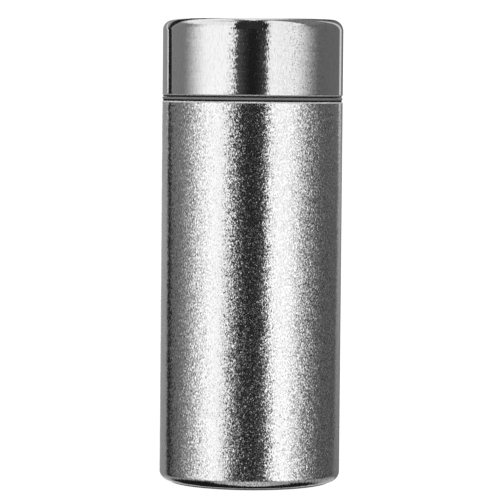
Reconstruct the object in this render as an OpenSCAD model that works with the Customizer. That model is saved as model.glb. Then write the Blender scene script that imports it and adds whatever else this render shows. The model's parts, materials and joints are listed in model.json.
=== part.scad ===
// Double-wall insulated flask with a flush screw lid.
// All sizes are in millimetres. The origin is the centre of the foot, on the surface that the
// flask stands on, and +Z runs up the axis. The lid is shown screwed down.

/* [Flask] */
// Outside diameter of the body and of the lid
flask_d = 66; // [62:0.5:80]
// Height of the closed flask
flask_h = 169.5; // [150:0.5:260]
// Radius of the body's rounded bottom corner
foot_corner = 3.3; // [3:0.1:5]
// Thickness of the steel sheet
sheet = 0.5; // [0.4:0.05:0.6]
// Width of the vacuum between the two walls
vacuum_gap = 3.3; // [2.8:0.1:4.5]

/* [Lid] */
// Height of the lid
lid_h = 28.2; // [27:0.1:34]
// Radius of the lid's rounded top corner
lid_corner = 4.2; // [3:0.1:6]
// Rise of the lid's top from its edge to its middle
lid_crown = 0.3; // [0.1:0.1:0.6]

/* [Seam] */
// Height of each dark line, above and below the grey ring
seam_gap = 0.6; // [0.5:0.05:0.8]
// Height of the grey ring between the lid and the body
seam_ring_h = 0.8; // [0.6:0.1:1.2]

/* [Thread] */
// Number of threads side by side on the neck
thread_starts = 3; // [2:1:4]
// Distance along the axis from one thread to the next
thread_pitch = 4; // [4:0.25:5]
// Flat steps in one full turn of a thread
thread_steps = 72; // [48:12:96]

/* [Hidden] */
$fn = 120;

fit_gap = 0.05;       // between pieces that are pressed, crimped or welded together
thin_sheet = 0.4;     // base cover and stopper cover

// Heights
lid_z = flask_h - lid_h;                         // lower edge of the lid
shoulder_z = lid_z - 2 * seam_gap - seam_ring_h; // top of the body
neck_top_z = lid_z + 12.4;                       // top of the threaded ring
lip_z = neck_top_z + 0.8;                        // top of the mouth's rolled lip
web_z = lip_z + 2;                               // underside of the liner's web
web_top_z = web_z + 2;
plug_z = lip_z - 8;                              // underside of the stopper
pad_h = 0.6;
base_z = pad_h + 3;                              // underside of the vacuum base
vessel_z = 10;                                   // underside of the inner vessel

// Radii
body_r = flask_d / 2;
neck_r = body_r - 5.2;                           // outside of the threaded ring
neck_wall = 0.85;
vessel_neck_r = neck_r - neck_wall - fit_gap;    // outside of the vessel's neck
bore_r = vessel_neck_r - sheet;                  // the mouth
vessel_r = body_r - sheet - vacuum_gap;          // outside of the inner vessel
skirt_bore_r = neck_r + 1.7;                     // inside of the liner's skirt
skirt_r = body_r - sheet - 0.3;
hem = 2 * sheet;                                 // folded edge of the lid shell
hem_h = 1.3;
plug_r = bore_r - 0.8;
plug_wall = 1.6;
dark_line_r = body_r - 0.35;                     // outside of the two dark lines in the seam
collar_in_r = neck_r + 0.15;                     // inside of the pieces round the neck's foot
foot_rim_r = body_r - foot_corner - 1.6;         // opening in the bottom of the outer shell
base_r = foot_rim_r - sheet - fit_gap;
getter_x = 14;

// Threads: a male rib stands out of the neck, a female rib stands in from the skirt
thread_lead = thread_pitch * thread_starts;
rib_base_w = 2.4;
rib_crest_w = 1;
male_rib_h = 1.3;
female_rib_h = 1.2;
rib_root = 0.2;       // how deep a rib is sunk into its wall
male_rib_z = lid_z + 1.6;
male_rib_turns = 0.66;
female_rib_z = lid_z + 2.6;
female_rib_turns = 0.6;
rib_drop = 1.65;      // how far the female rib hangs below the male one

// The waste outside a rounded corner at p, where the solid lies towards dir.
module corner_waste(p, r, dir) {
  spill = 0.2;
  difference() {
    polygon([p - spill * dir, p + [dir.x * r, -dir.y * spill],
             p + r * dir, p + [-dir.x * spill, dir.y * r]]);
    translate(p + r * dir) circle(r);
  }
}

// A closed outline of straight sides, with some of its corners rounded off and then revolved.
// Each entry of rounds is [corner, radius, direction into the solid].
module turned(outline, rounds = []) {
  rotate_extrude()
    difference() {
      polygon(outline);
      for (c = rounds) corner_waste(c[0], c[1], c[2]);
    }
}

// Points on an arc about centre c, from angle a0 to angle a1 in n steps.
function arc(c, r, a0, a1, n) =
  [for (i = [0:n]) c + r * [cos(a0 + (a1 - a0) * i / n), sin(a0 + (a1 - a0) * i / n)]];

// The four corners of a rib's section at angle a. side is 1 for a rib that stands outwards
// from wall_r and -1 for one that stands inwards, and grow runs from 0 at its faded ends to 1.
function rib_section(wall_r, height, side, a, z, grow) =
  let (base = rib_base_w / 2, crest = base + (rib_crest_w / 2 - base) * grow,
       root_r = wall_r - side * rib_root, crest_r = wall_r + side * max(height * grow, 0.05))
  [for (q = [[root_r, -base], [crest_r, -crest], [crest_r, crest], [root_r, base]])
    [q.x * cos(a), q.x * sin(a), z + q.y]];

// One helical rib that starts at height z and angle a0, and fades in and out over an eighth turn.
module rib(wall_r, height, side, z, turns, a0) {
  steps = round(turns * thread_steps);
  fade = thread_steps / 8;
  points = [for (i = [0:steps])
    each rib_section(wall_r, height, side, a0 + 360 * i / thread_steps,
                     z + thread_lead * i / thread_steps, min(1, i / fade, (steps - i) / fade))];
  strips = [for (i = [0:steps - 1]) for (k = [0:3])
    let (a = 4 * i + k, b = 4 * i + (k + 1) % 4)
    each [[a, a + 4, b], [b, a + 4, b + 4]]];
  last = 4 * steps;
  ends = [[0, 1, 2], [0, 2, 3], [last, last + 2, last + 1], [last, last + 3, last + 2]];
  faces = concat(strips, ends);
  polyhedron(points, side < 0 ? faces : [for (f = faces) [f[0], f[2], f[1]]]);
}

// All the ribs of a thread, evenly spaced round the axis.
module thread(wall_r, height, side, z, turns) {
  for (s = [0:thread_starts - 1])
    rib(wall_r, height, side, z, turns, 360 * s / thread_starts);
}

// Outer wall: rim round the bottom opening, rounded bottom corner, straight side, shoulder.
module outer_shell() {
  rim_top_z = base_z + sheet;
  shoulder_round = 0.55;
  color("silver")
    turned(
      [[foot_rim_r - sheet, pad_h], [body_r, pad_h], [body_r, shoulder_z],
       [neck_r + fit_gap, shoulder_z], [neck_r + fit_gap, shoulder_z - sheet],
       [body_r - sheet, shoulder_z - sheet], [body_r - sheet, pad_h + foot_corner],
       each arc([body_r - foot_corner, pad_h + foot_corner], foot_corner - sheet, 0, -90, 8),
       [foot_rim_r, pad_h + sheet], [foot_rim_r, rim_top_z], [foot_rim_r - sheet, rim_top_z]],
      [[[body_r, pad_h], foot_corner, [-1, 1]],
       [[body_r, shoulder_z], shoulder_round, [-1, -1]],
       [[foot_rim_r - sheet, pad_h], sheet, [1, 1]]]);
}

// Plate that closes the outer shell, with a dimple round the pumping hole.
module vacuum_base() {
  dimple_r = 6;
  dimple_h = 0.9;
  hole_r = 0.8;
  color("darkgray")
    turned([[hole_r, base_z + dimple_h], [dimple_r - 1, base_z + dimple_h], [dimple_r, base_z],
            [base_r - sheet, base_z], [base_r - sheet, base_z - 1.8], [base_r, base_z - 1.8],
            [base_r, base_z + sheet], [dimple_r - 0.3, base_z + sheet],
            [dimple_r - 1.2, base_z + dimple_h + sheet], [hole_r, base_z + dimple_h + sheet]],
           [[[base_r, base_z + sheet], sheet, [-1, -1]]]);
}

// Glass bead melted into the dimple and the pumping hole.
module seal_bead() {
  bead_r = 3;
  bead_h = 0.9;
  roof_z = base_z + 0.9;
  color("darkslategray")
    rotate_extrude()
      polygon([[0, roof_z - bead_h], each arc([bead_r - bead_h, roof_z], bead_h, -90, 0, 6),
               [0.75, roof_z], [0.75, roof_z + 0.4], [0, roof_z + 0.4]]);
}

// Pill that soaks up stray gas in the vacuum.
module getter_pill() {
  color("dimgray")
    translate([getter_x, 0, base_z + sheet])
      cylinder(h = 2, r = 4);
}

// Spring strip that bridges the pill, with a spot-welded foot on each side.
module getter_clip() {
  strip = 0.3;
  strip_w = 4;
  inner_h = 2.05;
  inner_x = 4.2;
  foot = 3;
  outer_x = inner_x + strip;
  color("lightsteelblue")
    translate([getter_x, strip_w / 2, base_z + sheet])
      rotate([90, 0, 0])
        linear_extrude(strip_w)
          polygon([[-outer_x - foot, 0], [-inner_x, 0], [-inner_x, inner_h],
                   [inner_x, inner_h], [inner_x, 0], [outer_x + foot, 0],
                   [outer_x + foot, strip], [outer_x, strip], [outer_x, inner_h + strip],
                   [-outer_x, inner_h + strip], [-outer_x, strip], [-outer_x - foot, strip]]);
}

// Steel disc that hides the vacuum base, pressed into its rim.
module base_cover() {
  cover_r = base_r - sheet - fit_gap;
  color("gainsboro")
    turned([[0, pad_h], [cover_r, pad_h], [cover_r, pad_h + 1.8],
            [cover_r - thin_sheet, pad_h + 1.8], [cover_r - thin_sheet, pad_h + thin_sheet],
            [0, pad_h + thin_sheet]],
           [[[cover_r, pad_h], thin_sheet, [-1, 1]]]);
}

// Soft disc that the flask stands on, hollowed a little in the middle.
module base_pad() {
  pad_r = body_r - foot_corner - 0.5;
  hollow_r = pad_r - 9;
  hollow_h = 0.25;
  color("dimgray")
    turned([[0, hollow_h], [hollow_r, hollow_h], [hollow_r, 0], [pad_r, 0], [pad_r, pad_h],
            [0, pad_h]],
           [[[pad_r, 0], 0.25, [-1, 1]]]);
}

// Outline of the inner vessel from the middle of its bottom up to the neck, moved inwards by t.
function vessel_side(t) =
  let (corner = 6, bend = 4, drop = vessel_r - vessel_neck_r,
       turn = acos(1 - drop / (2 * bend)), rise = 2 * bend * sin(turn),
       bend_z = shoulder_z - 2.6 - rise)
  [[0, vessel_z + t],
   each arc([vessel_r - corner, vessel_z + corner], corner - t, -90, 0, 10),
   each arc([vessel_r - bend, bend_z], bend - t, 0, turn, 6),
   each arc([vessel_neck_r + bend, bend_z + rise], bend + t, 180 + turn, 180, 6)];

function reversed(points) = [for (i = [len(points) - 1:-1:0]) points[i]];

// Inner wall: rounded bottom, straight side, waisted neck, and a lip rolled over the ring.
module inner_vessel() {
  lip_r = neck_r - 0.1;
  lip_round = 0.35;
  color("lightgray")
    turned([each vessel_side(0), [vessel_neck_r, neck_top_z + fit_gap], [lip_r, neck_top_z + fit_gap],
            [lip_r, lip_z], [bore_r, lip_z], each reversed(vessel_side(sheet))],
           [[[lip_r, lip_z], lip_round, [-1, -1]], [[bore_r, lip_z], lip_round, [1, -1]]]);
}

// Copper foil wrapped round the straight side of the inner vessel.
module reflective_foil() {
  foil = 0.1;
  inner_r = vessel_r + fit_gap;
  low_z = vessel_z + 7;
  high_z = shoulder_z - 12;
  color("peru")
    turned([[inner_r, low_z], [inner_r + foil, low_z], [inner_r + foil, high_z],
            [inner_r, high_z]]);
}

// Threaded ring between the shoulder and the lip, with a flange under the shoulder.
module neck_ring() {
  inner_r = neck_r - neck_wall;
  flange_r = neck_r + 1.6;
  flange_z = shoulder_z - sheet;
  color("silver")
    union() {
      turned([[inner_r, flange_z - 1.6], [neck_r, flange_z - 1.6], [neck_r, flange_z - 0.8],
              [flange_r, flange_z - 0.8], [flange_r, flange_z], [neck_r, flange_z],
              [neck_r, neck_top_z], [inner_r, neck_top_z]]);
      thread(neck_r, male_rib_h, 1, male_rib_z, male_rib_turns);
    }
}

// Soft black ring between the shoulder and the grey ring: the lower dark line.
module collar_gasket() {
  color("black")
    turned([[collar_in_r, shoulder_z], [dark_line_r, shoulder_z],
            [dark_line_r, shoulder_z + seam_gap], [collar_in_r, shoulder_z + seam_gap]]);
}

// Grey ring round the foot of the neck, almost flush with the body.
module collar_ring() {
  rim_r = body_r - 0.1;
  low_z = shoulder_z + seam_gap;
  high_z = low_z + seam_ring_h;
  edge = 0.15;
  color("gray")
    turned([[collar_in_r, low_z], [rim_r, low_z], [rim_r, high_z], [collar_in_r, high_z]],
           [[[rim_r, low_z], edge, [-1, 1]], [[rim_r, high_z], edge, [-1, -1]]]);
}

// Soft ring that the lid presses on the lip of the mouth.
module lid_seal() {
  seal_in_r = plug_r + 0.1;
  seal_out_r = neck_r + 0.4;
  low_z = lip_z + fit_gap;
  high_z = web_z - fit_gap;
  edge = 0.5;
  color("whitesmoke")
    turned([[seal_in_r, low_z], [seal_out_r, low_z], [seal_out_r, high_z], [seal_in_r, high_z]],
           [[[seal_out_r, low_z], edge, [-1, 1]], [[seal_out_r, high_z], edge, [-1, -1]],
            [[seal_in_r, low_z], edge, [1, 1]]]);
}

// Moulded liner: threaded skirt with a lip under the lid's hem, which is the upper dark line,
// a web, and the hollow stopper that hangs in the mouth.
module lid_liner() {
  lip_low_z = lid_z - seam_gap + 0.12;
  lip_top_z = lid_z - fit_gap;
  hem_clear_r = body_r - hem - fit_gap;
  hem_clear_z = lid_z + hem_h + 0.2;
  color("black")
    union() {
      turned([[0, plug_z], [plug_r, plug_z], [plug_r, web_z], [skirt_bore_r, web_z],
              [skirt_bore_r, lip_low_z], [dark_line_r, lip_low_z], [dark_line_r, lip_top_z],
              [hem_clear_r, lip_top_z], [hem_clear_r, hem_clear_z], [skirt_r, hem_clear_z],
              [skirt_r, web_top_z], [plug_r - plug_wall, web_top_z],
              [plug_r - plug_wall, plug_z + plug_wall], [0, plug_z + plug_wall]],
             [[[plug_r, plug_z], 0.6, [-1, 1]]]);
      rotate(360 * (female_rib_z - male_rib_z + rib_drop) / thread_lead)
        thread(skirt_bore_r, female_rib_h, -1, female_rib_z, female_rib_turns);
    }
}

// Thin steel cup crimped over the end of the stopper.
module plug_cover() {
  cup_in_r = plug_r + fit_gap;
  cup_r = cup_in_r + thin_sheet;
  cup_z = plug_z - fit_gap - thin_sheet;
  cup_top_z = plug_z + 2.4;
  color("gainsboro")
    turned([[0, cup_z], [cup_r, cup_z], [cup_r, cup_top_z], [cup_in_r, cup_top_z],
            [cup_in_r, cup_z + thin_sheet], [0, cup_z + thin_sheet]],
           [[[cup_r, cup_z], thin_sheet, [-1, 1]]]);
}

// Insulating filling of the stopper.
module plug_foam() {
  color("ivory")
    translate([0, 0, plug_z + plug_wall + 0.1])
      cylinder(h = web_top_z - plug_z - plug_wall - 0.2, r = plug_r - plug_wall - 0.2);
}

// Insulating disc under the top of the lid.
module lid_foam() {
  foam_r = skirt_r - 0.2;
  top_z = flask_h - lid_crown - sheet - 0.3;
  corner = lid_corner - 0.4;
  color("ivory")
    turned([[0, web_top_z + 0.1], [foam_r, web_top_z + 0.1], [foam_r, top_z], [0, top_z]],
           [[[foam_r, top_z], corner, [-1, -1]]]);
}

// Outline of the lid's top and side from the middle to the hem, moved inwards by t.
function lid_top(t) =
  let (flat_r = body_r - lid_corner, edge_z = flask_h - lid_crown,
       crown_r = (flat_r * flat_r + lid_crown * lid_crown) / (2 * lid_crown),
       tilt = asin(flat_r / crown_r))
  [each arc([0, flask_h - crown_r], crown_r - t, 90, 90 - tilt, 8),
   each arc([flat_r, edge_z - lid_corner], lid_corner - t, 90 - tilt, 0, 12)];

// Drawn steel cap with a slightly crowned top and a hem folded inwards round its lower edge.
module lid_shell() {
  hem_r = body_r - hem;
  color("silver")
    turned([each lid_top(0), [body_r, lid_z], [hem_r, lid_z], [hem_r, lid_z + hem_h],
            [body_r - sheet, lid_z + hem_h], each reversed(lid_top(sheet))],
           [[[body_r, lid_z], sheet - 0.02, [-1, 1]], [[hem_r, lid_z], sheet - 0.02, [1, 1]]]);
}

outer_shell();
vacuum_base();
seal_bead();
getter_pill();
getter_clip();
base_cover();
base_pad();
inner_vessel();
reflective_foil();
neck_ring();
collar_gasket();
collar_ring();
lid_seal();
lid_liner();
plug_cover();
plug_foam();
lid_foam();
lid_shell();
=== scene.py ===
"""Looks of a double-wall flask: frosted and polished steel, plastics, rubbers and a studio.

Everything is in metres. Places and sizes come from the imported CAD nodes' boxes, or are wall
thicknesses, edge radii and thread sizes named below, which are the CAD model's own.
"""
import json
import math

import bpy
from mathutils import Matrix, Vector


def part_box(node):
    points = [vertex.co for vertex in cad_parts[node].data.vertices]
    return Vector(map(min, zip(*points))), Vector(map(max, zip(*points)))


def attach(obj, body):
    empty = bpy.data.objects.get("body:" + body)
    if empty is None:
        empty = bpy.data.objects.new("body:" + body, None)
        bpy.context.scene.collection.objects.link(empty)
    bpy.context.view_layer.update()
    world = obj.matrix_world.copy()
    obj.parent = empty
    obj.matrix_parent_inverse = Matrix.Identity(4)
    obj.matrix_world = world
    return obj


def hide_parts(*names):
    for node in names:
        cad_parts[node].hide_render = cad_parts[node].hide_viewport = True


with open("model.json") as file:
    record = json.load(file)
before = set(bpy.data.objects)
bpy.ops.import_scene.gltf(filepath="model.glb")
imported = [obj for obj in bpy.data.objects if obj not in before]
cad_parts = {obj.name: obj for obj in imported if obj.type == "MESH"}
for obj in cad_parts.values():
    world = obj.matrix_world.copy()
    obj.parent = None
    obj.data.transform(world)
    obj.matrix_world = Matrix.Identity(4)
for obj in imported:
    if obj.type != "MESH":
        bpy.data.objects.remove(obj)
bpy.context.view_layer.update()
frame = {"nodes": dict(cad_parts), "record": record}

MM = 0.001
TURNS = 256                   # faces round a turned piece
SHARP = math.radians(32)      # edges sharper than this stay crisp
NODES = frame["nodes"]


# ---------------------------------------------------------------- sizes

def reach(node):
    """(outer radius, lowest z, highest z) of a turned CAD node."""
    low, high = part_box(node)
    return high.x, low.z, high.z


BODY_R, SHELL_Z, SHOULDER_Z = reach("outer_shell")
_, LID_Z, TOP_Z = reach("lid_shell")
VESSEL_R, VESSEL_Z, LIP_Z = reach("inner_vessel")
FLANGE_R, RING_Z, NECK_TOP_Z = reach("neck_ring")
COLLAR_R, COLLAR_Z, COLLAR_TOP_Z = reach("collar_ring")
LIP_LINE_R, LINER_Z, WEB_TOP_Z = reach("lid_liner")
COVER_R, COVER_Z, COVER_TOP_Z = reach("plug_cover")
SEAL_R, SEAL_Z, SEAL_TOP_Z = reach("lid_seal")
PAD_R, _, PAD_TOP_Z = reach("base_pad")

SHEET = 0.5 * MM              # steel sheet of the walls
THIN_SHEET = 0.4 * MM         # steel sheet of the covers
GAP = 0.05 * MM               # between pieces that are pressed or crimped together
FOOT_CORNER = 3.3 * MM
SHOULDER_ROUND = 0.55 * MM
LID_CORNER = 4.2 * MM
LID_CROWN = 0.3 * MM
HEM = 1.0 * MM
HEM_H = 1.3 * MM
RIM_R = BODY_R - FOOT_CORNER - 1.6 * MM
NECK_R = BODY_R - 5.2 * MM
NECK_IN_R = NECK_R - 0.85 * MM
VESSEL_NECK_R = NECK_IN_R - GAP
COLLAR_IN_R = NECK_R + 0.15 * MM
SKIRT_BORE_R = NECK_R + 1.7 * MM
SKIRT_R = BODY_R - 0.8 * MM
PLUG_R = COVER_R - THIN_SHEET - GAP
PLUG_Z = LIP_Z - 8 * MM
PLUG_WALL = 1.6 * MM
WEB_Z = WEB_TOP_Z - 2 * MM

# The thread's ribs
LEAD = 12 * MM                # rise in one turn
STARTS = 3
RIB_BASE = 1.2 * MM           # half width at the wall
RIB_CREST = 0.5 * MM          # half width at the crest
RIB_FADE = 45.0               # degrees over which a rib rises at its ends
NECK_RIB_H = 1.3 * MM
NECK_RIB_TURNS = 0.66
NECK_RIB_Z = LID_Z + 1.6 * MM
LINER_RIB_H = 1.2 * MM
LINER_RIB_TURNS = 0.6
LINER_RIB_Z = LID_Z + 2.6 * MM
RIB_DROP = 1.65 * MM          # of the liner's rib under the neck's, at the same turn


# ---------------------------------------------------------------- turned meshes

def rounded(corners, step=math.radians(9), guard=0.3 * MM):
    """A closed outline of (r, z) points from corners (r, z, fillet radius).

    A fillet becomes an arc with a guard point just before and after it, so that the smooth
    shading of the arc doesn't spread over the straight side next to it."""
    points = []
    for i, corner in enumerate(corners):
        here = Vector(corner[:2])
        fillet = corner[2] if len(corner) > 2 else 0
        if fillet == 0:
            points.append(here)
            continue
        before = Vector(corners[i - 1][:2]) - here
        after = Vector(corners[(i + 1) % len(corners)][:2]) - here
        angle = before.angle(after)
        cut = fillet / math.tan(angle / 2)
        bisector = (before.normalized() + after.normalized()).normalized()
        centre = here + bisector * (fillet / math.sin(angle / 2))
        start = here + before.normalized() * cut
        end = here + after.normalized() * cut
        a0 = math.atan2(start.y - centre.y, start.x - centre.x)
        a1 = math.atan2(end.y - centre.y, end.x - centre.x)
        sweep = (a1 - a0 + math.pi) % (2 * math.pi) - math.pi
        steps = max(3, math.ceil(abs(sweep) / step))
        if before.length - cut > 2 * guard:
            points.append(start + before.normalized() * guard)
        for k in range(steps + 1):
            a = a0 + sweep * k / steps
            points.append(centre + fillet * Vector((math.cos(a), math.sin(a))))
        if after.length - cut > 2 * guard:
            points.append(end + after.normalized() * guard)
    return [(p.x, p.y) for p in points]


def between_heights(r, z0, z1, pitch=0.2 * MM):
    """Points up or down a straight wall, close enough together to carry a thread."""
    count = max(2, round(abs(z1 - z0) / pitch))
    return [(r, z0 + (z1 - z0) * i / count) for i in range(count + 1)]


def rib_height(turn, z, height, rib_z, turns, first):
    """How far the thread stands out of its wall at an angle in degrees and a height z."""
    most = 0.0
    for start in range(STARTS):
        along = (turn - first - 360 * start / STARTS) % 360
        if along > 360 * turns:
            continue
        grow = min(1, along / RIB_FADE, (360 * turns - along) / RIB_FADE)
        off = abs(z - rib_z - LEAD * along / 360)
        crest = RIB_BASE + (RIB_CREST - RIB_BASE) * grow
        if off >= RIB_BASE:
            continue
        slope = 1.0 if off <= crest else (RIB_BASE - off) / (RIB_BASE - crest)
        most = max(most, height * grow * slope * slope * (3 - 2 * slope))
    return most


def turned(name, outline, relief=None, turns=TURNS):
    """A closed mesh from an outline of (r, z) points revolved about Z. Points at r = 0 are
    poles. relief(turn, r, z) is added to the radius, for a thread."""
    area = sum(outline[i - 1][0] * outline[i][1] - outline[i][0] * outline[i - 1][1]
               for i in range(len(outline)))
    if area < 0:
        outline = outline[::-1]
    verts, rings = [], []
    for r, z in outline:
        if r < 1e-7:
            rings.append([len(verts)] * turns)
            verts.append((0, 0, z))
            continue
        rings.append(list(range(len(verts), len(verts) + turns)))
        for k in range(turns):
            a = 2 * math.pi * k / turns
            rr = r + (relief(math.degrees(a), r, z) if relief else 0)
            verts.append((rr * math.cos(a), rr * math.sin(a), z))
    faces = []
    for low, high in zip([rings[-1]] + rings[:-1], rings):
        if low[0] == low[-1] and high[0] == high[-1]:
            continue
        for k in range(turns):
            m = (k + 1) % turns
            faces.append(list(dict.fromkeys([low[k], low[m], high[m], high[k]])))
    mesh = bpy.data.meshes.new(name)
    mesh.from_pydata(verts, [], faces)
    mesh.validate()
    mesh.update()
    mesh.shade_smooth()
    mesh.set_sharp_from_angle(angle=SHARP)
    piece = bpy.data.objects.new(name, mesh)
    bpy.context.scene.collection.objects.link(piece)
    return piece


# ---------------------------------------------------------------- shader helpers

class Shader:
    """A material or world node tree with short calls for the nodes used here."""

    def __init__(self, owner):
        owner.use_nodes = True
        self.tree = owner.node_tree
        self.tree.nodes.clear()

    def node(self, kind, inputs=(), **settings):
        n = self.tree.nodes.new(kind)
        for key, value in settings.items():
            setattr(n, key, value)
        for key, value in dict(inputs).items():
            self.put(n.inputs[key], value)
        return n

    def put(self, socket, value):
        if isinstance(value, bpy.types.NodeSocket):
            self.tree.links.new(value, socket)
        else:
            socket.default_value = value

    def math(self, operation, a, b=None):
        n = self.node("ShaderNodeMath", operation=operation)
        self.put(n.inputs[0], a)
        if b is not None:
            self.put(n.inputs[1], b)
        return n.outputs[0]

    def vector_math(self, operation, a, b=None, scale=None):
        n = self.node("ShaderNodeVectorMath", operation=operation)
        self.put(n.inputs[0], a)
        if b is not None:
            self.put(n.inputs[1], b)
        if scale is not None:
            self.put(n.inputs["Scale"], scale)
        return n.outputs["Value" if operation == "DOT_PRODUCT" else "Vector"]

    def ramp(self, value, stops):
        """A gray level from stops of (position, level)."""
        n = self.node("ShaderNodeValToRGB", {"Fac": value})
        elements = n.color_ramp.elements
        while len(elements) < len(stops):
            elements.new(0.5)
        for element, (position, level) in zip(elements, sorted(stops)):
            element.position = position
            element.color = (level, level, level, 1)
        return n.outputs[0]

    def between(self, value, low, high, out_low=0.0, out_high=1.0):
        """A smooth step from out_low to out_high as value goes from low to high."""
        n = self.node("ShaderNodeMapRange",
                      {"Value": value, "From Min": low, "From Max": high,
                       "To Min": out_low, "To Max": out_high},
                      interpolation_type="SMOOTHSTEP")
        return n.outputs[0]

    def product(self, *factors):
        result = factors[0]
        for factor in factors[1:]:
            result = self.math("MULTIPLY", result, factor)
        return result

    def line(self, distance, half, soft=0.02):
        """1 where the distance from a line is less than half, in either direction."""
        beyond = self.math("SUBTRACT", self.math("ABSOLUTE", distance), half)
        return self.between(beyond, 0.0, soft, 1.0, 0.0)

    def mix(self, factor, a, b):
        """a where factor is 0, and b where it is 1."""
        n = self.node("ShaderNodeMix", data_type="FLOAT")
        self.put(n.inputs["Factor"], factor)
        self.put(n.inputs[2], a)
        self.put(n.inputs[3], b)
        return n.outputs[0]


def place(shader):
    """Where a point is in its piece."""
    return shader.node("ShaderNodeTexCoord").outputs["Object"]


def noise(shader, vector, scale, detail=2.0, roughness=0.5):
    """Value of a noise texture with the given number of features per metre."""
    n = shader.node("ShaderNodeTexNoise",
                    {"Vector": vector, "Scale": scale, "Detail": detail, "Roughness": roughness})
    return n.outputs["Fac"]


def radius(shader):
    """Distance from the axis."""
    x, y, _ = shader.node("ShaderNodeSeparateXYZ", {"Vector": place(shader)}).outputs
    return shader.math("SQRT", shader.math("ADD", shader.math("MULTIPLY", x, x),
                                           shader.math("MULTIPLY", y, y)))


def wrapped(shader, around=1.0, along=1.0, out=0.0):
    """Coordinates round the axis, along it and out from it, in metres of the body's surface,
    each stretched by its factor: a small factor draws a texture out that way."""
    x, y, z = shader.node("ShaderNodeSeparateXYZ", {"Vector": place(shader)}).outputs
    r = radius(shader)
    safe = shader.math("MAXIMUM", r, 1e-5)
    rise = shader.math("ADD", shader.math("MULTIPLY", z, along), shader.math("MULTIPLY", r, out))
    return shader.node("ShaderNodeCombineXYZ",
                       {"X": shader.math("MULTIPLY", shader.math("DIVIDE", x, safe),
                                         BODY_R * around),
                        "Y": shader.math("MULTIPLY", shader.math("DIVIDE", y, safe),
                                         BODY_R * around),
                        "Z": rise}).outputs[0]


def bump(shader, height, distance, normal=None):
    """The normal of a relief whose height goes from 0 to distance."""
    inputs = {"Height": height, "Distance": distance, "Strength": 1.0}
    if normal is not None:
        inputs["Normal"] = normal
    return shader.node("ShaderNodeBump", inputs).outputs[0]


def tilt(shader, vector, scale, amount, normal=None, detail=2.0):
    """The normal tipped at random, by about amount radians, with scale features per metre."""
    if normal is None:
        normal = shader.node("ShaderNodeNewGeometry").outputs["Normal"]
    random = shader.node("ShaderNodeTexNoise",
                         {"Vector": vector, "Scale": scale, "Detail": detail,
                          "Roughness": 0.6}).outputs["Color"]
    centred = shader.vector_math("SUBTRACT", random, (0.5, 0.5, 0.5))
    usual = 0.15              # how far the noise usually strays from its middle
    if isinstance(amount, bpy.types.NodeSocket):
        size = shader.math("DIVIDE", amount, usual)
    else:
        size = amount / usual
    push = shader.vector_math("SCALE", centred, scale=size)
    return shader.vector_math("NORMALIZE", shader.vector_math("ADD", normal, push))


def surface(shader, **values):
    """The principled shader and the output, with its sockets named by short words."""
    names = {"color": "Base Color", "metallic": "Metallic", "roughness": "Roughness",
             "normal": "Normal", "ior": "IOR", "transmission": "Transmission Weight",
             "specular": "Specular IOR Level", "subsurface": "Subsurface Weight",
             "subsurface_scale": "Subsurface Scale"}
    n = shader.node("ShaderNodeBsdfPrincipled", {names[k]: v for k, v in values.items()})
    shader.node("ShaderNodeOutputMaterial", {"Surface": n.outputs[0]})


def gray(level):
    return (level, level, level, 1)


def tinted(shader, level, tint):
    """A gray level socket times a colour."""
    return shader.vector_math("MULTIPLY", level, tint)


def material(name):
    """A new material and its shader."""
    made = bpy.data.materials.new(name)
    return made, Shader(made)


# ---------------------------------------------------------------- materials

FROST = 2300                  # grains per metre of the frosting
DRAWN = 3000                  # streaks per metre of the polished lid


def frosted_steel():
    """Blasted steel: a sparkling grain of facets that tip the reflection about."""
    made, s = material("frosted_steel")
    at = place(s)
    grain = wrapped(s, 1.12, 0.56)
    # the grain is coarser towards +X, and fades at both sides and round the bottom corner
    x, _, z = s.node("ShaderNodeSeparateXYZ", {"Vector": at}).outputs
    # share is 0 at the left outline and 1 at the right one
    share = s.math("ADD", s.math("DIVIDE", x, 2 * BODY_R), 0.5)
    coarse = s.ramp(share, [(0.05, 0.03), (0.09, 0.12), (0.19, 0.15), (0.30, 0.10), (0.39, 0.12),
                            (0.50, 0.11), (0.56, 0.05), (0.65, 0.05), (0.71, 0.10), (0.78, 0.18),
                            (0.83, 0.22), (0.93, 0.17), (0.965, 0.04)])
    fade = s.between(z, SHELL_Z + 2.0 * MM, SHELL_Z + 4.2 * MM, 0.3, 1.0)
    normal = tilt(s, grain, FROST, s.math("MULTIPLY", coarse, fade))
    normal = tilt(s, at, 260, 0.008, normal, 1.0)
    rough = s.ramp(noise(s, at, 1500, 2.0, 0.7), [(0.48, 0.08), (0.66, 0.26)])
    tone = s.ramp(noise(s, grain, FROST, 2.0, 0.7), [(0.32, 0.48), (0.48, 0.70), (0.68, 0.80)])
    # light and dark specks in the tone, a painted sparkle of the reflection, strongest in the middle
    # and on the right
    strength = s.ramp(share, [(0.05, 0.0), (0.20, 0.25), (0.32, 0.0), (0.40, 0.5), (0.54, 0.5),
                              (0.66, 0.05), (0.72, 0.35), (0.81, 0.6), (0.90, 0.50), (0.98, 0.1)])
    specks = s.between(noise(s, wrapped(s, 1.3, 0.7), 2500, 1.0), 0.36, 0.64, -1.0, 1.0)
    tone = s.math("MULTIPLY", tone, s.math("ADD", 1.0, s.math("MULTIPLY", specks, strength)))
    tone = s.math("MINIMUM", tone, 0.98)
    # the very top edge is a rougher rim with its colour painted lighter: a painted highlight line
    # along the body's top edge
    rim = s.between(z, SHOULDER_Z - 0.62 * MM, SHOULDER_Z - 0.5 * MM)
    surface(s, color=s.mix(rim, tone, 0.98), metallic=1.0, roughness=s.mix(rim, rough, 0.85),
            normal=normal)
    return made


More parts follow.
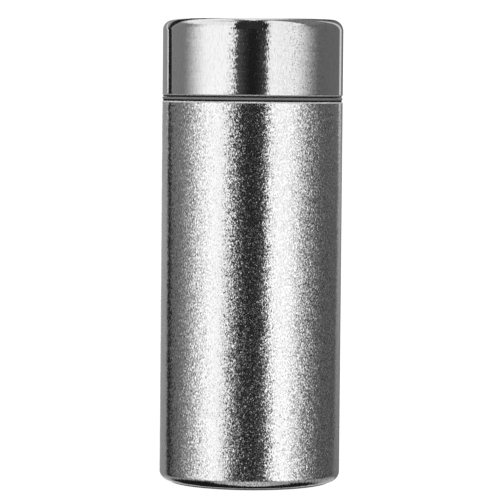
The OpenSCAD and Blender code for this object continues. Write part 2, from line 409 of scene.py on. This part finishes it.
def polished_steel():
    """Polished steel with fine drawn streaks up its side and turning marks round it."""
    made, s = material("polished_steel")
    x, _, z = s.node("ShaderNodeSeparateXYZ", {"Vector": place(s)}).outputs
    # the streaks come in patches, and fade at both sides
    calm = s.between(s.math("ABSOLUTE", x), 0.80 * BODY_R, 0.90 * BODY_R, 1.0, 0.05)
    patches = s.ramp(noise(s, wrapped(s, 1.0, 0.5), 90, 1.0), [(0.40, 0.010), (0.62, 0.028)])
    normal = tilt(s, wrapped(s, 1.0, 0.35), DRAWN, s.math("MULTIPLY", patches, calm), detail=1.0)
    normal = tilt(s, wrapped(s, 0.03, 1.0, 1.0), 1500, s.math("MULTIPLY", calm, 0.010), normal)
    rough = s.ramp(noise(s, wrapped(s, 1.0, 0.3, 1.0), 2600, 2.0, 0.7), [(0.60, 0.06), (0.74, 0.3)])
    tone = s.ramp(noise(s, wrapped(s, 1.0, 0.2, 1.0), 2300, 2.0, 0.7), [(0.34, 0.58), (0.50, 0.70)])
    # a few dark flecks on the right
    flecks = s.ramp(noise(s, wrapped(s, 1.0, 0.7), 2400, 1.0), [(0.30, 0.40), (0.45, 1.0)])
    right = s.ramp(s.math("DIVIDE", x, BODY_R), [(0.25, 0.0), (0.45, 1.0), (0.62, 1.0), (0.80, 0.3)])
    tone = s.math("MULTIPLY", tone, s.mix(right, 1.0, flecks))
    # the hem is a rougher rim with its colour painted lighter: a painted highlight line along the
    # lid's lower edge
    rim = s.between(z, LID_Z + 0.38 * MM, LID_Z + 0.5 * MM, 1.0, 0.0)
    surface(s, color=s.mix(rim, tone, 0.80), metallic=1.0, roughness=s.mix(rim, rough, 0.8),
            normal=normal)
    return made


def satin_steel(name, level, roughness, grain):
    """Steel turned on a lathe: fine marks round the axis, and cloudy roughness."""
    made, s = material(name)
    marks = noise(s, wrapped(s, 0.05, 1.0, 1.0), 2600, 3.0, 0.6)
    normal = bump(s, marks, grain)
    cloud = noise(s, place(s), 220, 2.0)
    tone = s.ramp(cloud, [(0.3, level * 0.94), (0.7, level * 1.04)])
    rough = s.ramp(cloud, [(0.3, roughness * 0.8), (0.7, roughness * 1.25)])
    surface(s, color=tone, metallic=1.0, roughness=rough, normal=normal)
    return made


def moulded(name, level, roughness, grain=0.012 * MM, specular=0.5):
    """Moulded plastic or rubber: a fine spark-eroded grain and a slightly uneven tone."""
    made, s = material(name)
    normal = bump(s, noise(s, place(s), 2400, 2.0), grain)
    cloud = noise(s, place(s), 260, 3.0)
    tone = s.ramp(cloud, [(0.3, level * 0.9), (0.7, level * 1.1)])
    rough = s.ramp(cloud, [(0.3, roughness * 0.9), (0.7, min(1, roughness * 1.15))])
    surface(s, color=tone, metallic=0.0, roughness=rough, normal=normal, specular=specular)
    return made


def silicone(name, level):
    """Translucent white silicone with a dull skin."""
    made, s = material(name)
    cloud = noise(s, place(s), 300, 3.0)
    tone = s.ramp(cloud, [(0.3, level * 0.93), (0.7, level)])
    surface(s, color=tone, metallic=0.0, roughness=0.48, subsurface=0.35,
            subsurface_scale=1.0 * MM, normal=bump(s, noise(s, place(s), 1800), 0.01 * MM))
    return made


def copper_foil():
    """Thin bright copper with creases that run up and round it."""
    made, s = material("copper_foil")
    creases = s.node("ShaderNodeTexVoronoi",
                     {"Vector": wrapped(s, 1.0, 0.5), "Scale": 120.0},
                     feature="DISTANCE_TO_EDGE").outputs["Distance"]
    normal = bump(s, s.between(creases, 0.0, 0.12), 0.06 * MM)
    normal = bump(s, noise(s, place(s), 260, 3.0), 0.25 * MM, normal)
    cloud = s.ramp(noise(s, place(s), 150, 3.0), [(0.3, 0.85), (0.7, 1.05)])
    surface(s, color=tinted(s, cloud, (0.78, 0.44, 0.30)), metallic=1.0, roughness=0.22,
            normal=normal)
    return made


def bead_glass():
    """Brown glass melted into a bead, with a faint skin of oxide."""
    made, s = material("bead_glass")
    cloud = s.ramp(noise(s, place(s), 900, 3.0), [(0.3, 0.75), (0.7, 1.05)])
    surface(s, color=tinted(s, cloud, (0.30, 0.24, 0.19)), metallic=0.0, roughness=0.12,
            transmission=0.5, ior=1.52, normal=bump(s, noise(s, place(s), 700), 0.03 * MM))
    return made


def getter_metal():
    """Pressed metal powder: dark, matt and grainy."""
    made, s = material("getter_metal")
    grains = s.node("ShaderNodeTexVoronoi", {"Vector": place(s), "Scale": 3500.0}).outputs["Distance"]
    tone = s.ramp(noise(s, place(s), 2600, 3.0, 0.7), [(0.3, 0.16), (0.7, 0.34)])
    surface(s, color=tone, metallic=0.8, roughness=0.6, normal=bump(s, grains, 0.05 * MM))
    return made


def foam():
    """Closed-cell foam: small round cells, cream in colour, with painted shade darkening the pores.
    """
    made, s = material("foam")
    cells = s.node("ShaderNodeTexVoronoi", {"Vector": place(s), "Scale": 1500.0}).outputs["Distance"]
    tone = s.ramp(cells, [(0.1, 0.72), (0.5, 0.97)])
    surface(s, color=tinted(s, tone, (0.90, 0.87, 0.78)), metallic=0.0, roughness=0.85,
            normal=bump(s, cells, 0.15 * MM))
    return made


LOOKS = {
    "frosted_steel": frosted_steel(),
    "polished_steel": polished_steel(),
    "plain_steel": satin_steel("plain_steel", 0.64, 0.24, 0.012 * MM),
    "inner_steel": satin_steel("inner_steel", 0.68, 0.16, 0.006 * MM),
    "getter_metal": getter_metal(),
    "copper_foil": copper_foil(),
    "bead_glass": bead_glass(),
    "ring_plastic": moulded("ring_plastic", 0.12, 0.42, specular=0.3),
    "liner_plastic": moulded("liner_plastic", 0.014, 0.45, specular=0.2),
    # gasket_rubber is almost black: it paints the shade of the groove between the gray collar and the
    # shoulder
    "gasket_rubber": moulded("gasket_rubber", 0.006, 0.70, specular=0.1),
    "seal_silicone": silicone("seal_silicone", 0.78),
    "pad_silicone": moulded("pad_silicone", 0.085, 0.62, 0.02 * MM),
    "foam": foam(),
}
SLOTS = {part["node"]: part["material_slot"] for part in frame["record"]["subparts"]}


# ---------------------------------------------------------------- pieces

def stands_for(piece, node, body):
    """Gives a new piece the CAD node's look and body, and hides the node."""
    piece.data.materials.append(LOOKS[SLOTS[node]])
    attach(piece, body)
    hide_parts(node)


def outer_shell():
    rim_top = SHELL_Z + 3.5 * MM
    outline = rounded([
        (RIM_R - SHEET, SHELL_Z, 0.3 * MM), (BODY_R, SHELL_Z, FOOT_CORNER),
        (BODY_R, SHOULDER_Z, SHOULDER_ROUND), (NECK_R + GAP, SHOULDER_Z),
        (NECK_R + GAP, SHOULDER_Z - SHEET), (BODY_R - SHEET, SHOULDER_Z - SHEET),
        (BODY_R - SHEET, SHELL_Z + SHEET, FOOT_CORNER - SHEET),
        (RIM_R, SHELL_Z + SHEET), (RIM_R, rim_top), (RIM_R - SHEET, rim_top)], math.radians(5))
    return turned("frosted_body", outline)


def lid_top_outline(inset):
    """Half outline of the lid's crowned top and rounded edge, from the middle outwards."""
    flat_r = BODY_R - LID_CORNER
    edge_z = TOP_Z - LID_CROWN
    crown_r = (flat_r ** 2 + LID_CROWN ** 2) / (2 * LID_CROWN)
    lean = math.asin(flat_r / crown_r)
    crown_steps, corner_steps = 16, 20
    points = []
    for k in range(crown_steps + 1):
        a = math.pi / 2 - lean * k / crown_steps
        points.append(((crown_r - inset) * math.cos(a),
                       TOP_Z - crown_r + (crown_r - inset) * math.sin(a)))
    points[0] = (0.0, points[0][1])
    guard = 0.3 * MM
    last_r, last_z = points[-1]
    points[-1] = (last_r - guard, last_z + guard * math.tan(lean))
    for k in range(corner_steps + 1):
        a = (math.pi / 2 - lean) * (1 - k / corner_steps)
        points.append((flat_r + (LID_CORNER - inset) * math.cos(a),
                       edge_z - LID_CORNER + (LID_CORNER - inset) * math.sin(a)))
    points.append((BODY_R - inset, edge_z - LID_CORNER - guard))
    return points


def lid_shell():
    hem_r = BODY_R - HEM
    hem_round = 0.48 * MM
    hem = rounded([(BODY_R, TOP_Z), (BODY_R, LID_Z, hem_round), (hem_r, LID_Z, hem_round),
                   (hem_r, LID_Z + HEM_H), (BODY_R - SHEET, LID_Z + HEM_H),
                   (BODY_R - SHEET, TOP_Z)])
    hem = [point for point in hem if point[1] < TOP_Z]
    return turned("lid_cap", lid_top_outline(0) + hem + lid_top_outline(SHEET)[::-1])


def neck_ring():
    flange_z = SHOULDER_Z - SHEET
    flange_h = 0.8 * MM
    edge = 0.2 * MM
    outline = [(NECK_IN_R, RING_Z), (NECK_R, RING_Z), (NECK_R, flange_z - flange_h),
               (FLANGE_R, flange_z - flange_h), (FLANGE_R, flange_z), (NECK_R, flange_z),
               *between_heights(NECK_R, flange_z + 0.3 * MM, NECK_TOP_Z - edge),
               (NECK_R - edge, NECK_TOP_Z), (NECK_IN_R, NECK_TOP_Z)]

    def relief(turn, r, z):
        if abs(r - NECK_R) > 1e-6 or z < flange_z:
            return 0
        return rib_height(turn, z, NECK_RIB_H, NECK_RIB_Z, NECK_RIB_TURNS, 0)

    return turned("threaded_neck", outline, relief)


def vessel_side(inset):
    """The inner vessel's outline from the middle of its bottom to its neck, moved inwards."""
    corner, bend = 6 * MM, 4 * MM
    drop = VESSEL_R - VESSEL_NECK_R
    swing = math.acos(1 - drop / (2 * bend))
    rise = 2 * bend * math.sin(swing)
    bend_z = SHOULDER_Z - 2.6 * MM - rise
    points = [(0, VESSEL_Z + inset)]

    def arc(r, z, size, a0, a1, steps):
        for k in range(steps + 1):
            a = a0 + (a1 - a0) * k / steps
            points.append((r + size * math.cos(a), z + size * math.sin(a)))

    points.append((VESSEL_R - corner - 0.3 * MM, VESSEL_Z + inset))
    arc(VESSEL_R - corner, VESSEL_Z + corner, corner - inset, -math.pi / 2, 0, 16)
    points.append((VESSEL_R - inset, VESSEL_Z + corner + 0.3 * MM))
    points.append((VESSEL_R - inset, bend_z - 0.3 * MM))
    arc(VESSEL_R - bend, bend_z, bend - inset, 0, swing, 10)
    arc(VESSEL_NECK_R + bend, bend_z + rise, bend + inset, math.pi + swing, math.pi, 10)
    points.append((VESSEL_NECK_R - inset, bend_z + rise + 0.3 * MM))
    return points


def inner_vessel():
    lip_r = NECK_R - 0.1 * MM
    lip_round = 0.35 * MM
    bore_r = VESSEL_NECK_R - SHEET
    under_lip = NECK_TOP_Z + GAP
    lip = rounded([(VESSEL_NECK_R, under_lip - 1 * MM), (VESSEL_NECK_R, under_lip),
                   (lip_r, under_lip), (lip_r, LIP_Z, lip_round), (bore_r, LIP_Z, lip_round),
                   (bore_r, under_lip - 1 * MM)])
    return turned("drinking_vessel", vessel_side(0) + lip + vessel_side(SHEET)[::-1])


def collar_gasket():
    # the gasket's near-black colour is painted shade: it draws the dark groove line between the gray
    # collar and the body's shoulder
    edge = 0.15 * MM
    return turned("dark_gasket", rounded([
        (COLLAR_IN_R, SHOULDER_Z), (LIP_LINE_R, SHOULDER_Z, edge), (LIP_LINE_R, COLLAR_Z, edge),
        (COLLAR_IN_R, COLLAR_Z)], guard=0.1 * MM))


def collar_ring():
    edge = 0.15 * MM
    return turned("gray_collar", rounded([
        (COLLAR_IN_R, COLLAR_Z), (COLLAR_R, COLLAR_Z, edge), (COLLAR_R, COLLAR_TOP_Z, edge),
        (COLLAR_IN_R, COLLAR_TOP_Z)], guard=0.1 * MM))


def lid_seal():
    inner_r = PLUG_R + 0.1 * MM
    edge = 0.5 * MM
    middle = (inner_r + SEAL_R) / 2
    groove = 0.25 * MM
    return turned("sealing_ring", rounded([
        (inner_r, SEAL_Z, edge), (middle - 2 * groove, SEAL_Z), (middle, SEAL_Z + groove, groove),
        (middle + 2 * groove, SEAL_Z), (SEAL_R, SEAL_Z, edge), (SEAL_R, SEAL_TOP_Z, edge),
        (inner_r, SEAL_TOP_Z)], guard=0.1 * MM))


def lid_liner():
    hem_clear_r = BODY_R - HEM - GAP
    hem_clear_z = LID_Z + HEM_H + 0.2 * MM
    edge = 0.15 * MM
    root = 0.6 * MM
    lead_in = 0.5 * MM
    corners = rounded([
        (0, PLUG_Z), (PLUG_R, PLUG_Z, 0.6 * MM), (PLUG_R, WEB_Z, 0.05 * MM),
        (SKIRT_BORE_R, WEB_Z, root)])
    skirt = between_heights(SKIRT_BORE_R, WEB_Z - 2 * root, LINER_Z + lead_in)
    rest = rounded([
        (SKIRT_BORE_R + lead_in, LINER_Z), (LIP_LINE_R, LINER_Z, edge),
        (LIP_LINE_R, LID_Z - GAP, edge), (hem_clear_r, LID_Z - GAP), (hem_clear_r, hem_clear_z),
        (SKIRT_R, hem_clear_z), (SKIRT_R, WEB_TOP_Z, 0.3 * MM),
        (PLUG_R - PLUG_WALL, WEB_TOP_Z), (PLUG_R - PLUG_WALL, PLUG_Z + PLUG_WALL, 0.5 * MM),
        (0, PLUG_Z + PLUG_WALL)], guard=0.1 * MM)

    def relief(turn, r, z):
        if abs(r - SKIRT_BORE_R) > 1e-6 or z > WEB_Z - root:
            return 0
        # the liner's rib is turned so that it lies under the neck's
        first = 360 * (LINER_RIB_Z - NECK_RIB_Z + RIB_DROP) / LEAD
        return -rib_height(turn, z, LINER_RIB_H, LINER_RIB_Z, LINER_RIB_TURNS, first)

    return turned("moulded_liner", corners + skirt + rest, relief)


def plug_cover():
    dish_r = COVER_R * 0.72
    dish = 0.15 * MM
    inner_r = COVER_R - THIN_SHEET
    return turned("stopper_cover", rounded([
        (0, COVER_Z + dish), (dish_r, COVER_Z + dish, 1 * MM), (dish_r + 0.8 * MM, COVER_Z, 1 * MM),
        (COVER_R, COVER_Z, THIN_SHEET), (COVER_R, COVER_TOP_Z, 0.12 * MM),
        (inner_r, COVER_TOP_Z, 0.12 * MM), (inner_r, COVER_Z + THIN_SHEET),
        (0, COVER_Z + THIN_SHEET)], guard=0.1 * MM))


def base_pad():
    hollow_r = PAD_R - 9 * MM
    hollow_h = 0.25 * MM
    groove = 0.14 * MM
    grooves = 3
    corners = [(0, hollow_h), (hollow_r - 0.4 * MM, hollow_h, 0.3 * MM), (hollow_r, 0, 0.2 * MM)]
    for k in range(grooves):
        r = hollow_r + (k + 1) * (PAD_R - hollow_r) / (grooves + 1)
        corners += [(r - 2 * groove, 0), (r - groove, groove), (r + groove, groove),
                    (r + 2 * groove, 0)]
    corners += [(PAD_R, 0, 0.25 * MM), (PAD_R, PAD_TOP_Z), (0, PAD_TOP_Z)]
    return turned("foot_pad", rounded(corners, guard=0.1 * MM))


stands_for(outer_shell(), "outer_shell", "flask")
stands_for(neck_ring(), "neck_ring", "flask")
stands_for(inner_vessel(), "inner_vessel", "flask")
stands_for(collar_gasket(), "collar_gasket", "flask")
stands_for(collar_ring(), "collar_ring", "flask")
stands_for(base_pad(), "base_pad", "flask")
stands_for(lid_seal(), "lid_seal", "seal")
stands_for(lid_shell(), "lid_shell", "lid")
stands_for(lid_liner(), "lid_liner", "lid")
stands_for(plug_cover(), "plug_cover", "lid")

KEPT = ("vacuum_base", "seal_bead", "getter_pill", "getter_clip", "base_cover",
        "reflective_foil", "plug_foam", "lid_foam")
for kept in KEPT:
    mesh = NODES[kept].data
    mesh.materials.clear()
    mesh.materials.append(LOOKS[SLOTS[kept]])


# ---------------------------------------------------------------- studio

def direction(turn, height):
    """The direction towards a turn and a height, both in degrees."""
    turn, height = math.radians(turn), math.radians(height)
    return Vector((math.sin(turn) * math.cos(height), -math.cos(turn) * math.cos(height),
                   math.sin(height)))


class Studio:
    """The brightness of the studio in each direction that the steel reflects.

    Turns and heights are in degrees. Turn 0 is in front of the flask, and turns grow towards
    +X. Each method from sides_and_gap to below takes a level, and gives it with one thing
    added."""

    def __init__(self, shader, view):
        self.s = shader
        self.view = view
        self.x, self.y, self.z = shader.node("ShaderNodeSeparateXYZ", {"Vector": view}).outputs
        turn = shader.math("ARCTAN2", self.x, shader.math("MULTIPLY", self.y, -1.0))
        self.turn = shader.math("MULTIPLY", turn, 180 / math.pi)
        self.side = shader.math("ABSOLUTE", self.turn)
        self.height = shader.math("MULTIPLY", shader.math("ARCSINE", self.z), 180 / math.pi)

    def level(self):
        """The whole studio, built up from the horizon."""
        level = self.horizon()
        for add in (self.sides_and_gap, self.overhead, self.upper_gap, self.dark_bars,
                    self.below):
            level = add(level)
        return level

    def beside(self, first, second, inside):
        """The distance from the plane through two directions, positive towards inside."""
        plane = first.cross(second).normalized()
        if plane.dot(inside) < 0:
            plane = -plane
        return self.s.vector_math("DOT_PRODUCT", self.view, plane)

    def box(self, outer, full, inner):
        """1 inside a soft box: it fades in from outer to full, and ends along inner."""
        s = self.s
        return s.product(s.between(self.turn, outer, full), s.between(self.turn, *inner, 1.0, 0.0))

    def ring(self, left_box, right_box, lit, sides, back, back_turns):
        """Two soft boxes in front with a dark gap between them, dim sides, a gray back left and
        a white strip behind. lit and sides are pairs of levels, at the left and at the right."""
        s = self.s
        dim = s.between(self.turn, -60, 60, *sides)
        dim = s.mix(s.between(self.turn, *back_turns), dim, back)
        dim = s.between(self.side, 2, 40, 0.015, dim)
        boxes = s.math("MAXIMUM", self.box(*left_box), self.box(*right_box))
        around = s.mix(boxes, dim, s.between(self.turn, -20, 20, *lit))
        return s.mix(s.between(self.turn, -166, -168), around, 1.2)

    def horizon(self):
        """The level as the lid reflects it, just above the horizon, and as the body does."""
        s = self.s
        at_lid = self.ring(left_box=(-100, -58, (-24, -20)), right_box=(95, 50, (21, 16.5)),
                           lit=(1.3, 1.2), sides=(0.25, 0.17), back=0.33, back_turns=(-121, -126))
        # a thin bright line at the right of the lid
        at_lid = s.mix(s.line(s.math("SUBTRACT", self.turn, 150.5), 2.5, 4.0), at_lid, 0.8)
        at_body = self.ring(left_box=(-103, -50, (-39, -23)), right_box=(90, 46, (23, 13)),
                            lit=(1.4, 1.4), sides=(0.2, 0.13), back=0.43, back_turns=(-130, -138))
        level = s.mix(s.between(self.height, -2.5, -0.2), at_body, at_lid)
        # a lighter strip behind the right of the body, with a straight edge
        strip = self.beside(direction(148, -1), direction(137, -6.5), direction(165, -3))
        return s.mix(s.product(s.between(strip, -0.02, 0.02),
                               s.between(self.height, -1.6, -0.4, 1.0, 0.0),
                               s.between(self.x, 0.0, 0.1),
                               s.between(self.side, 165, 168, 1.0, 0.0)), level, 0.40)

    def sides_and_gap(self, level):
        """The sides grow darker towards the floor, and the gap in front wider at its right."""
        s = self.s
        dim = s.product(s.between(self.side, 55, 80), s.between(self.height, -8, -0.5, 1.0, 0.0),
                        s.between(self.x, -0.3, 0.3, 0.3, 0.5))
        level = s.math("MULTIPLY", level, s.math("SUBTRACT", 1.0, dim))
        widening = self.beside(direction(16, -2.0), direction(24, -7.0), direction(0, -5.0))
        return s.mix(s.product(s.between(widening, -0.04, 0.03), s.between(self.x, 0.05, 0.15),
                               s.between(self.height, -3.5, -1.5, 1.0, 0.0),
                               s.between(self.y, -0.2, 0.0, 1.0, 0.0)), level, 0.06)

    def overhead(self, level):
        """Both boxes end in a slanting edge. Behind it are white at the left and gray at the
        right, and behind the gap a slow rise from dark to white."""
        s = self.s
        slant = s.math("ADD", s.math("ADD", self.y, 0.31), s.math("MULTIPLY", self.x, 1.2))
        seam = s.product(s.line(slant, 0.05, 0.07), s.between(self.x, -0.5, -0.25, 0.0, 0.75))
        left = s.mix(seam, 1.15, 0.05)
        back = s.math("ADD", self.y, s.math("MULTIPLY", self.x, 0.55))
        right = s.between(back, 0.24, 0.38, 1.2, 0.25)
        middle = s.between(self.y, 0.0, 0.9, 0.05, 1.0)
        over = s.mix(s.between(self.x, -0.22, -0.12), left, middle)
        over = s.mix(s.between(self.x, 0.12, 0.20), over, right)
        level = s.mix(s.between(self.height, 32, 44), level, over)
        behind = s.product(s.between(self.side, 162, 174), s.between(self.height, 14, 24))
        return s.mix(behind, level, 1.1)

    def upper_gap(self, level):
        """The gap between the boxes narrows towards the top."""
        s = self.s
        left_edge = s.vector_math("DOT_PRODUCT", self.view, Vector((1, -0.42, 0.14)).normalized())
        right_edge = s.vector_math("DOT_PRODUCT", self.view,
                                   Vector((-1, -0.335, 0.14)).normalized())
        gap = s.product(s.between(s.math("MINIMUM", left_edge, right_edge), -0.01, 0.02),
                        s.between(self.y, 0.0, 0.12, 1.0, 0.0), s.between(self.height, 2, 8))
        return s.mix(gap, level, 0.03)

    def dark_bars(self, level):
        """A dark bar at the back left, which turns over at the top like the rim of a round
        screen, with a bright line beside it, and a shorter dark bar at the back right."""
        s = self.s
        bar = self.beside(direction(-132, 1), direction(-125.5, -6), direction(-90, 0))
        upright = s.product(s.line(bar, s.between(self.height, -3, -0.5, 0.070, 0.064)),
                            s.between(self.height, 5, 8, 1.0, 0.0))
        screen = s.vector_math("DOT_PRODUCT", self.view, direction(-163, 6))
        rim = s.product(s.line(s.math("SUBTRACT", screen, math.cos(math.radians(30.5))),
                               s.between(self.height, 8, 30, 0.032, 0.060)),
                        s.between(self.height, 4, 7))
        back_left = s.product(s.between(self.x, -0.15, -0.06, 1.0, 0.0),
                              s.between(self.y, 0.1, 0.2))
        level = s.mix(s.product(s.math("MAXIMUM", upright, rim), back_left), level, 0.015)
        shine = s.product(s.line(s.math("ADD", bar, 0.082), 0.016, 0.010), back_left,
                          s.between(self.height, -1, 0), s.between(self.height, 14, 20, 1.0, 0.0))
        level = s.mix(shine, level, 1.1)
        short = s.product(s.line(s.math("SUBTRACT", self.x, 0.175), 0.05),
                          s.between(self.y, 0.5, 0.6), s.between(self.height, 12, 18),
                          s.between(self.height, 44, 38))
        return s.mix(short, level, 0.03)

    def below(self, level):
        """The light table in front, and the dark foot of the flask seen from the sides."""
        s = self.s
        front = s.between(s.math("ABSOLUTE", self.x), 0.2, 0.8, 0.56, 0.34)
        shade = s.math("ADD", s.math("ADD", self.y, s.between(self.x, -0.2, 0.2, 0.16, 0.0)),
                       s.math("MULTIPLY", s.math("ABSOLUTE", self.x), 0.45))
        deep = s.math("ADD", self.z, s.between(self.x, -0.3, 0.3, 0.44, 0.60))
        dark = s.product(s.between(shade, -0.08, 0.06), s.between(deep, -0.10, 0.04, 1.0, 0.0),
                         s.between(self.y, 0.66, 0.80, 1.0, 0.0))
        return s.mix(s.between(self.height, -15.5, -19), level, s.mix(dark, front, 0.012))


def studio_world():
    """Steel reflects the studio; dull surfaces are lit from the front; the rest is white."""
    world = bpy.data.worlds.new("studio")
    bpy.context.scene.world = world
    s = Shader(world)
    view = s.node("ShaderNodeTexCoord").outputs["Generated"]
    path = s.node("ShaderNodeLightPath").outputs
    x, y, _ = s.node("ShaderNodeSeparateXYZ", {"Vector": view}).outputs
    # the soft light comes from the front, and a little from the left
    facing = s.math("ADD", y, s.math("MULTIPLY", x, 0.25))
    soft = s.between(facing, -1.0, 0.8, 1.9, 0.3)
    white = 1.15
    seen = s.mix(path["Is Diffuse Ray"], white, soft)
    seen = s.mix(path["Is Glossy Ray"], seen, Studio(s, view).level())
    back = s.node("ShaderNodeBackground", {"Color": seen, "Strength": 1.0})
    s.node("ShaderNodeOutputWorld", {"Surface": back.outputs[0]})


def floor():
    """A glowing white floor, on which a shadow hardly shows."""
    mesh = bpy.data.meshes.new("floor")
    half = 12.0
    mesh.from_pydata([(-half, -half, 0), (half, -half, 0), (half, half, 0), (-half, half, 0)],
                     [], [(0, 1, 2, 3)])
    plane = bpy.data.objects.new("floor", mesh)
    bpy.context.scene.collection.objects.link(plane)
    made = bpy.data.materials.new("floor_paint")
    s = Shader(made)
    paint = s.node("ShaderNodeBsdfDiffuse", {"Color": gray(0.12)})
    glow = s.node("ShaderNodeEmission", {"Color": gray(1.0), "Strength": 0.98})
    white = s.node("ShaderNodeAddShader", {0: paint.outputs[0], 1: glow.outputs[0]})
    s.node("ShaderNodeOutputMaterial", {"Surface": white.outputs[0]})
    mesh.materials.append(made)
    plane.visible_glossy = False


CAMERA_LEAN = math.radians(0.5)


def camera():
    """A long lens level with the seam, so that the flask is seen almost straight from the side."""
    data = bpy.data.cameras.new("camera")
    data.lens = 236.0
    data.sensor_width = 36.0
    data.clip_end = 100
    eye = Vector((-0.0004, -1.1988, 0.1473))
    aim = Vector((-0.0004, 0, 0.08483))
    holder = bpy.data.objects.new("camera", data)
    face = (aim - eye).to_track_quat("-Z", "Y").to_matrix().to_4x4()
    lean = Matrix.Rotation(CAMERA_LEAN, 4, "Z")
    holder.matrix_world = Matrix.Translation(eye) @ face @ lean
    bpy.context.scene.collection.objects.link(holder)
    bpy.context.scene.camera = holder


studio_world()
floor()
camera()
bpy.context.scene.view_settings.view_transform = "Standard"
bpy.context.scene.view_settings.look = "None"
